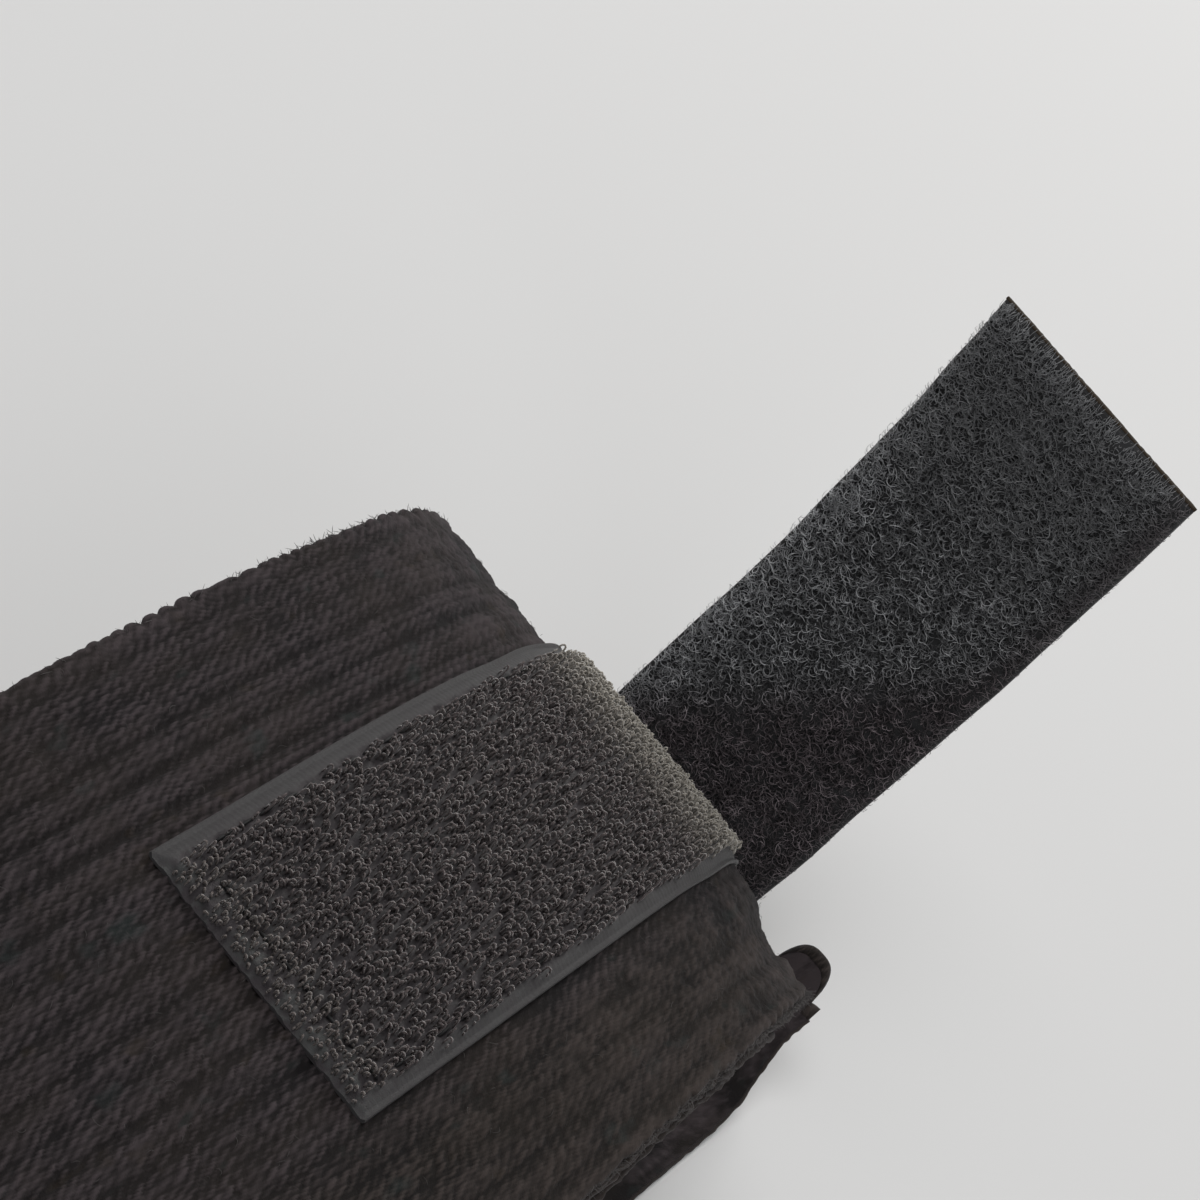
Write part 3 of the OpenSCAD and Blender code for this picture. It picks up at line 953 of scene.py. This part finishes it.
def set_hooks():
    """Rows of cut loops: a hook and a stub each, swung at random. Over the crown they take the mauve tint,
    a little less at its near end, where they are paler and greyer; towards the limb the tint fades to a
    paler olive, which is painted light for the light that shines through the hooks there.
    """
    rows = np.arange(PATCH_END - 0.35, PATCH_START + 1.0, -HOOK_PITCH_ALONG)
    half = TAPE_W / 2 - SELVEDGE + 0.55
    columns = np.arange(-half, half + 0.01, HOOK_PITCH_ACROSS)
    s, y = (g.ravel() for g in np.meshgrid(rows, columns, indexing="ij"))
    row = np.round((rows[0] - s) / HOOK_PITCH_ALONG).astype(int)
    count = len(s)
    s = s + RNG.normal(0, HOOK_SCATTER, count)
    y = y + HOOK_PITCH_ACROSS * (0.5 * (row % 2) - 0.25) + RNG.normal(0, HOOK_SCATTER, count) + PATCH_Y
    swing = RNG.uniform(0, FULL_TURN, count)
    from_end = np.minimum(s - PATCH_START, PATCH_END - s)
    size = RNG.normal(HOOK_SIZE, HOOK_SIZE_SPREAD, count) * (0.66 + 0.34 * smooth_step(from_end, 1.2, 4.4))
    lean = RNG.normal(0.0, HOOK_LEAN_SPREAD, count)
    shade = 0.30 + 0.55 * RNG.random(count)
    # Tint share: it fades towards the limb, where the paler hooks are painted light, and is a little less
    # at the near end.
    crown = 1 - 0.9 * smooth_step(band_line(s)[0][:, 0], 38, 52) - 0.12 * (PATCH_END - s < 4.0)
    drop = edge_drop(TAPE_W / 2 - np.abs(y - PATCH_Y), PATCH_END - s)
    shape, stub = hook_shape(), stub_shape()
    middle = (PATCH_START + PATCH_END) / 2
    for name, part in (("hooks_limb", s < middle), ("hooks_crown", s >= middle)):
        places = [value[part] for value in (s, y, swing, size, lean, drop)]
        hooks, hook_faces = tubes(plant(shape, *places), WIRE_R, WIRE_SIDES, 0.75)
        stubs, stub_faces = tubes(plant(stub, *places), WIRE_R, WIRE_SIDES, 0.75)
        points = np.concatenate([hooks, stubs])
        faces = hook_faces + [f + len(hooks) for f in stub_faces]
        corners = [len(leg) * WIRE_SIDES for leg in (shape, stub)]
        pale, mark = (np.concatenate([np.repeat(value[part], each) for each in corners])
                      for value in (shade, crown))
        obj = make_mesh(name, points, faces, np.stack([pale, pale, mark], -1), pale)
        nodes = ("hook_field",) if name == "hooks_limb" else ()
        finish_piece(obj, HOOK_WIRE, "roll", nodes=nodes)


def sew_patch():
    """The seam round the patch."""
    edge = TAPE_W / 2 - SEAM_IN
    first, last = PATCH_START + END_SEAM_IN, PATCH_END - END_SEAM_IN
    top = TAPE_TOP - 0.22
    low, high = PATCH_Y - edge, PATCH_Y + edge
    seams = [seam(band_line, (first, last), (y, y), top, PATCH_STITCH, 1.9) for y in (low, high)]
    seams += [seam(band_line, (s, s), (low, high), top, PATCH_STITCH, 1.9) for s in (first, last)]
    sew("patch_seam", seams, 0.14, ("hook_tape_stitches",), "roll")


patch_tape()
set_hooks()
sew_patch()


# ------------------------ the loop strap
# Each length of the strap: its name, ends and hinge, and the numbers of the CAD pieces in it.
STRAP_SPANS = [("heel", ROOT_S, CUT_4, HINGES[3], (1, 2)),
               ("ankle", CUT_4, CUT_5, HINGES[4], (3,)),
               ("fold", CUT_5, CUT_6, HINGES[5], (4,)),
               ("end", CUT_6, TIP_S, HINGES[6], (5,))]
TIP_ROUNDING = 1.35
TIP_EDGE_HEIGHT = 0.25


def strap_lengths(start, end):
    """Stations along a piece of the strap, closer together on the rounded tip."""
    even = np.linspace(start, end, int((end - start) / 0.3) + 2)
    tip = np.linspace(TIP_S - TIP_ROUNDING, TIP_S, 12)
    return np.union1d(even, tip[(tip > start) & (tip < end)])


def round_tip(s, height):
    """Brings heights above the strap's back down over the rounded tip."""
    share = np.clip((s - TIP_S + TIP_ROUNDING) / (TIP_ROUNDING + 0.1), 0, 1)
    rounded = TIP_EDGE_HEIGHT + (height - TIP_EDGE_HEIGHT) * np.sqrt(1 - share ** 2)
    return np.where(height > TIP_EDGE_HEIGHT, rounded, height)


def strap_tape(name, start, end, hinge, nodes):
    """The strap's woven tape, plain on the back."""
    lengths = strap_lengths(start, end)
    across, height, face = band_section(TAPE_W, TAPE_SECTION, 60, 110, turn=3)
    grid, y = spread(lengths, across)
    rib = 0.5 + 0.5 * np.sin(FULL_TURN * grid / 1.1) * np.cos(FULL_TURN * y / 0.9)
    selvedge = smooth_step(np.abs(y), TAPE_W / 2 - 1.8, TAPE_W / 2 - 1.4)
    lift = 0.11 * rib * (1 - 0.6 * selvedge) + 0.05 * noise(grid / 2.2, y / 2.2, 41) - 0.08 * selvedge
    waver = np.sign(across) * 0.12 * noise(grid / 7, np.sign(across) * 3.0, 42)
    high = round_tip(grid, TAPE_T / 2 + 0.03 + height + face * lift)
    shade = np.clip(0.25 + 0.55 * rib + 0.15 * noise(grid / 1.6, y / 1.6, 46) - 0.15 * selvedge, 0, 1)
    points = place_off(strap_line(lengths), y + waver + STRAP_Y, high)
    tape = strip_mesh("strap_tape_" + name, points, grid, y, high, shade)
    finish_piece(tape, STRAP_CLOTH, hinge=hinge, nodes=nodes)


def pile_bed(name, start, end, hinge, nodes):
    """The dense foot of the pile, lumpy, with its cut sides."""
    lengths = strap_lengths(start, end)
    across, height, face = band_section(TAPE_W - 1.0, 0.7, 90, 8, turn=3)
    grid, y = spread(lengths, across)
    lump = 0.20 * noise(grid / 0.9, y / 0.9, 43) + 0.16 * noise(grid / 2.4, y / 2.4, 44)
    high = round_tip(grid, TAPE_T + 0.36 + height + (face > 0) * lump)
    side = np.sign(across) * 0.15 * noise(grid / 1.1, np.sign(across) * 3.0, 45)
    shade = np.clip(0.5 + 1.6 * lump, 0, 1)
    points = place_off(strap_line(lengths), y + side + STRAP_Y, high)
    bed = strip_mesh("pile_bed_" + name, points, grid, y, high, shade)
    finish_piece(bed, PILE_GROUND, hinge=hinge, nodes=nodes)


FIBRES_PER_MM2 = 15.0
FIBRE_R = 0.029
FIBRE_POINTS = 7
# The least and most of each fibre's curl radius, the angle it turns through, its foot and its rise.
FIBRE_CURL = (0.25, 0.90)
FIBRE_TURN = (1.0, 3.8)
FIBRE_FOOT = (1.15, 1.75)
FIBRE_RISE = (0.15, 0.75)
FIBRE_TILT = 0.22
CALM_SHADE = 0.24


def pile_fibres(name, start, end, hinge):
    """Curly threads that arch up out of the bed, more even in shade near the tip and browner by the root,
    with a painted highlight along the upper edge and painted shade on the rounded tip.
    """
    half = TAPE_W / 2 - 0.35
    count = int((end - start) * 2 * half * FIBRES_PER_MM2)
    s = RNG.uniform(start, end, count)
    if end == TIP_S:
        extra = int(TIP_ROUNDING * 2 * half * FIBRES_PER_MM2)
        s = np.append(s, RNG.uniform(TIP_S - TIP_ROUNDING, TIP_S, extra))
        count += extra
    y = RNG.uniform(-half, half, count)
    t = np.linspace(0, 1, FIBRE_POINTS)[None]
    curl = (RNG.uniform(*FIBRE_CURL, count) * (1 - 0.5 * smooth_step(s, TIP_S - 2.4, TIP_S - 0.8)))[:, None]
    through = RNG.uniform(*FIBRE_TURN, count)[:, None] * RNG.choice([-1, 1], count)[:, None]
    begin = RNG.uniform(0, FULL_TURN, count)[:, None]
    angle = begin + through * (t - 0.5)
    along = curl * (np.cos(angle) - np.cos(begin))
    bow = 0.10 + 0.28 * (1 - (y / half) ** 2)
    room = (TIP_S + bow - s)[:, None]
    along = room - np.abs(room - along)
    aside = curl * (np.sin(angle) - np.sin(begin))
    foot = RNG.uniform(*FIBRE_FOOT, count)[:, None]
    rise = RNG.uniform(*FIBRE_RISE, count)[:, None]
    tilt = RNG.normal(0, FIBRE_TILT, count)[:, None]
    height = foot + rise * np.sin(math.pi * t) ** 0.8 + tilt * (t - 0.5)
    height = round_tip(s[:, None] + along, np.clip(height, 0.95, TAPE_T + PILE_H + 0.12))
    limit = TAPE_W / 2 + 0.15
    across = np.clip(y[:, None] + aside, -limit, limit) + STRAP_Y
    paths = place_off(strap_line(s), across, height, along)
    # Painted highlight along the +y edge, where the pile curls over and catches the light.
    shades = RNG.random(count) ** 2.6 + 0.26 * smooth_step(y, half - 6.0, half)
    # Painted shade on the rounded tip, which faces the light.
    shades = shades * (1 - 0.45 * smooth_step(s, TIP_S - 2.0, TIP_S - 0.4))
    calm = 0.72 * smooth_step(s, TIP_S - 32, TIP_S - 10)
    shades = np.minimum(shades * (1 - calm) + CALM_SHADE * calm, 1)
    root = smooth_step(-s - 1.4 * y, -(CURL_S + 30), -(CURL_S + 19))
    marks = np.clip(root + 0.8 * smooth_step(-y, half - 3.0, half), 0, 1)
    radii = RNG.uniform(0.75, 1.25, count) * FIBRE_R
    obj = tube_object("pile_fibres_" + name, paths, radii, 3, 0.5, shades, marks)
    finish_piece(obj, PILE_FIBRE, hinge=hinge)


def make_strap():
    """The strap in its lengths. The longest one's fibres are in four pieces."""
    for name, start, end, hinge, numbers in STRAP_SPANS:
        strap_tape(name, start, end, hinge, ["strap_tape_" + str(n) for n in numbers])
        pile_bed(name, start, end, hinge, ["strap_pile_" + str(n) for n in numbers])
        parts = 4 if name == "end" else 1
        cuts = np.linspace(start + 0.4 * (name == "heel"), end, parts + 1)
        for i in range(parts):
            label = name if parts == 1 else name + "_" + str(i + 1)
            pile_fibres(label, cuts[i], cuts[i + 1], hinge)
    seal_tip()


def seal_tip():
    """The strap's cut end, melted to a thin bead."""
    y = np.linspace(-TAPE_W / 2, TAPE_W / 2, 90)
    turn = np.linspace(0, FULL_TURN, 11)[:-1]
    wobble = 0.10 * noise(y / 1.3, y * 0, 51) + 0.05 * noise(y / 0.5, y * 0, 52)
    s = TIP_S + (0.10 + 0.4 * wobble)[:, None] * np.cos(turn)
    off = 0.22 + (0.20 + 0.4 * wobble)[:, None] * np.sin(turn)
    points = to_3d(tail_point(s, off), y[:, None] + STRAP_Y)
    cloth = np.stack([s, y[:, None] + 0 * s, off], -1)
    seal = make_mesh("strap_tip_bead", points, ring_faces(*s.shape), cloth, 0.5 + 0 * s)
    finish_piece(seal, SEALED, "strap_end", nodes=("strap_tip_seal",))


make_strap()


# ------------------------ seams on the tail and in the heart of the roll
def sew_strap():
    """The seam that holds the strap to the tail: two lines along it and one across at each end."""
    edge = TAPE_W / 2 - 2
    top = TAPE_T + PILE_H - 0.25
    low, high = STRAP_Y - edge, STRAP_Y + edge
    ends = [("heel", ROOT_S + 2, CUT_4 - 0.2, HINGES[3], ("box_stitches_1", "box_stitches_2"), ROOT_S + 2),
            ("ankle", CUT_4 + 0.2, BAND_END_S - 3.2, HINGES[4], ("box_stitches_3",), BAND_END_S - 3.6)]
    for name, start, end, hinge, nodes, cross in ends:
        seams = [seam(strap_line, (start, end), (y, y), top, 2.6, 2.0) for y in (low, high)]
        seams.append(seam(strap_line, (cross, cross), (low, high), top, 2.6, 2.0))
        sew("box_seam_" + name, seams, 0.2, nodes, hinge=hinge)


def sew_hem():
    """Two rows of stitches across the hem, which follow the outline of the band's end."""
    depth = 1.9 * BAND_T
    first = np.arange(TAIL_Y - BAND_W / 2 + 2.5, TAIL_Y + BAND_W / 2 - 5.5, 3.0)
    seams = []
    for s in (BAND_END_S - HEM_LEN + 1.2, BAND_END_S - 2.6):
        ends = []
        for y in (first, first + 2.3):
            placed, side = tail_outline(np.full(len(y), s), y)
            place, up = strap_line(placed)
            ends.append(to_3d(place - depth * up, side))
        seams.append((ends[0], ends[1], to_3d(-up)))
    sew("hem_seam", seams, 0.16, ("tail_hem_stitches",), "strap_ankle")


def level_line(x, z):
    """A level line at a height, for strips and seams in the heart of the roll."""
    return np.stack([x, 0 * x + z], -1), np.stack([0 * x, 0 * x + 1], -1)


def start_hem(low, high):
    """The hem at the band's start, folded flat and sewn down."""
    x = np.linspace(low.x, high.x, int((high.x - low.x) / 0.5) + 2)
    width = BAND_W - 1
    points_across = int(width / 0.6)
    across, height, face = band_section(width, high.z - low.z, points_across, points_across)
    grid, y = spread(x, across)
    lift, shade = fabric_relief(grid, y + 20 * (face < 0), 0.4)
    thick = height + face * 0.35 * lift
    points = place_off(level_line(x, (low.z + high.z) / 2), y, thick)
    hem = strip_mesh("start_hem_fold", points, grid, y, thick, shade)
    finish_piece(hem, CREPE, "roll", nodes=("band_start_hem",))


def core_pieces():
    """The hem at the band's start and the thumb loop, pressed flat inside the fold."""
    low, high = (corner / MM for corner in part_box("band_start_hem"))
    start_hem(low, high)
    seam_x, reach, top = low.x + 2.2, BAND_W / 2 - 3, high.z
    hem = [seam(lambda x: level_line(x, top), (seam_x, seam_x), (-reach, reach), 0.0, 3.0, 2.2)]
    sew("start_hem_seam", hem, 0.18, ("start_hem_stitches",), "roll")
    low, high = (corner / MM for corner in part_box("thumb_loop"))
    thumb_loop(low, high)
    bars = [seam(lambda x: level_line(x, high.z), (x, x), (-7.0, 7.0), 0.0, 1.4, 1.3)
            for x in (low.x + 3.2, low.x + 6.2)]
    sew("thumb_loop_bars", bars, 0.2, ("thumb_loop_stitches",), "roll")


def thumb_loop(low, high):
    """A closed flat loop of woven tape."""
    width, tape = 18.0, 0.8
    half = (high.z - low.z) / 2
    radius = half - tape / 2
    ends = (high.x - half, low.x + half)
    turn = np.linspace(-math.pi / 2, math.pi / 2, 12)
    flat = np.linspace(*ends, 60)[1:-1]
    middle, out = [], []
    for end_x, way, x in zip(ends, (1, -1), (flat, flat[::-1])):
        round_end = way * np.stack([np.cos(turn), np.sin(turn)], -1)
        layer_z = low.z + half + way * radius
        middle += [(end_x, low.z + half) + radius * round_end, np.stack([x, 0 * x + layer_z], -1)]
        out += [round_end, np.tile([0.0, way], (len(x), 1))]
    middle, out = np.concatenate(middle), np.concatenate(out)
    across, height, face = band_section(width, tape, 30, 30, turn=3)
    length, y = spread(np.cumsum(np.linalg.norm(np.roll(middle, -1, 0) - middle, axis=1)), across)
    rib = 0.5 + 0.5 * np.sin(FULL_TURN * length / 1.2)
    high_at = height + (face > 0) * 0.05 * rib
    at = np.arange(y.size).reshape(y.shape)
    ahead = np.roll(at, -1, 0)
    quads = np.stack([at, ahead, np.roll(ahead, -1, 1), np.roll(at, -1, 1)], -1).reshape(-1, 4)
    points = place_off((middle, out), y, high_at)
    loop = make_mesh("thumb_loop_tape", points, [quads], np.stack([length, y, high_at], -1), rib)
    finish_piece(loop, LOOP_CLOTH, "roll", nodes=("thumb_loop",))


sew_strap()
sew_hem()
core_pieces()


# ------------------------ loose cotton on the band
EDGE_FIBRES = 5200
FACE_FIBRES = 700


def lay_fuzz(name, lengths, across, height, along, radius):
    paths = pinch_limb(place_off(band_line(lengths), across, height, along))
    finish_piece(tube_object(name, paths, radius, 3, 0.3), FUZZ, "roll")


def edge_fuzz():
    """Short loose fibres along both edges of the outer turn."""
    count = EDGE_FIBRES
    lengths = RNG.uniform(LAST_TURN, ROLL_LENGTH, count)
    side = RNG.choice([-1.0, 1.0], count)
    t = np.linspace(0, 1, 5)[None]
    reach = RNG.uniform(0.15, 0.75, count)[:, None]
    swing = RNG.normal(0, 0.6, count)[:, None]
    y = side[:, None] * (BAND_W / 2 - 0.25 + reach * t) + RNG.normal(0, 0.15, count)[:, None] * t ** 2
    height = RNG.uniform(-0.45, 0.45, count)[:, None] + RNG.normal(0, 0.35, count)[:, None] * t
    lay_fuzz("edge_fuzz", lengths, y, height, swing * t ** 1.5, 0.026)


def face_fuzz():
    """Fine loose fibres lying on the outer face of the band."""
    count = FACE_FIBRES
    lengths = RNG.uniform(LIMB_FROM, CROWN_TO, count)
    y = RNG.uniform(-BAND_W / 2 + 0.5, BAND_W / 2 - 0.5, count)
    keep = (np.abs(y - PATCH_Y) > TAPE_W / 2 + 0.3) | (lengths < PATCH_START) | (lengths > PATCH_END + 0.3)
    lengths, y = lengths[keep], y[keep]
    count = len(y)
    t = np.linspace(0, 1, 5)[None]
    way = RNG.uniform(0, FULL_TURN, count)[:, None]
    reach = RNG.uniform(0.3, 1.1, count)[:, None]
    bend = RNG.normal(0, 1.0, count)[:, None]
    angle = way + bend * t
    height = BAND_T / 2 + 0.05 + RNG.uniform(0.05, 0.35, count)[:, None] * np.sin(math.pi * t)
    across = y[:, None] + reach * t * np.sin(angle)
    lay_fuzz("face_fuzz", lengths, across, height, reach * t * np.cos(angle), 0.016)


edge_fuzz()
face_fuzz()


# ------------------------ floor and light
def make_floor():
    """A pale plain floor, a hair below the object."""
    half, below = 3000.0, -0.05
    sides = ((-half, -half), (half, -half), (half, half), (-half, half))
    points = np.array([(x, y, below) for x, y in sides])
    floor = make_mesh("floor", points, [np.array([[0, 1, 2, 3]])])
    mat, _, shader = new_material("floor_paint")
    set_inputs(shader, {"Base Color": (0.76, 0.76, 0.76, 1.0), "Roughness": 0.9, "Specular IOR Level": 0.1})
    floor.data.materials.append(mat)


def make_light(name, place, aim, size, power, colour):
    data = bpy.data.lights.new(name, "AREA")
    data.shape = "DISK"
    data.size = size * MM
    data.energy = power
    data.color = colour
    light = bpy.data.objects.new(name, data)
    light.location = Vector(place) * MM
    light.rotation_euler = (Vector(aim) - Vector(place)).to_track_quat("-Z", "Y").to_euler()
    bpy.context.scene.collection.objects.link(light)


def make_world(strength):
    world = bpy.data.worlds.new("studio")
    world.use_nodes = True
    set_inputs(world.node_tree.nodes["Background"], {"Color": (1.0, 1.0, 1.0, 1.0), "Strength": strength})
    bpy.context.scene.world = world


make_floor()
make_world(0.26)
make_light("key", (900, 150, 700), (20, 0, 30), 500, 5.9, (1.0, 0.985, 0.96))
make_light("top", (-100, 300, 1200), (20, 0, 20), 700, 4.5, (1.0, 1.0, 1.0))
make_light("fill", (-700, -600, 600), (20, 0, 30), 800, 1.8, (0.95, 0.97, 1.0))
bpy.context.scene.view_settings.view_transform = "Standard"
bpy.context.scene.view_settings.look = "None"
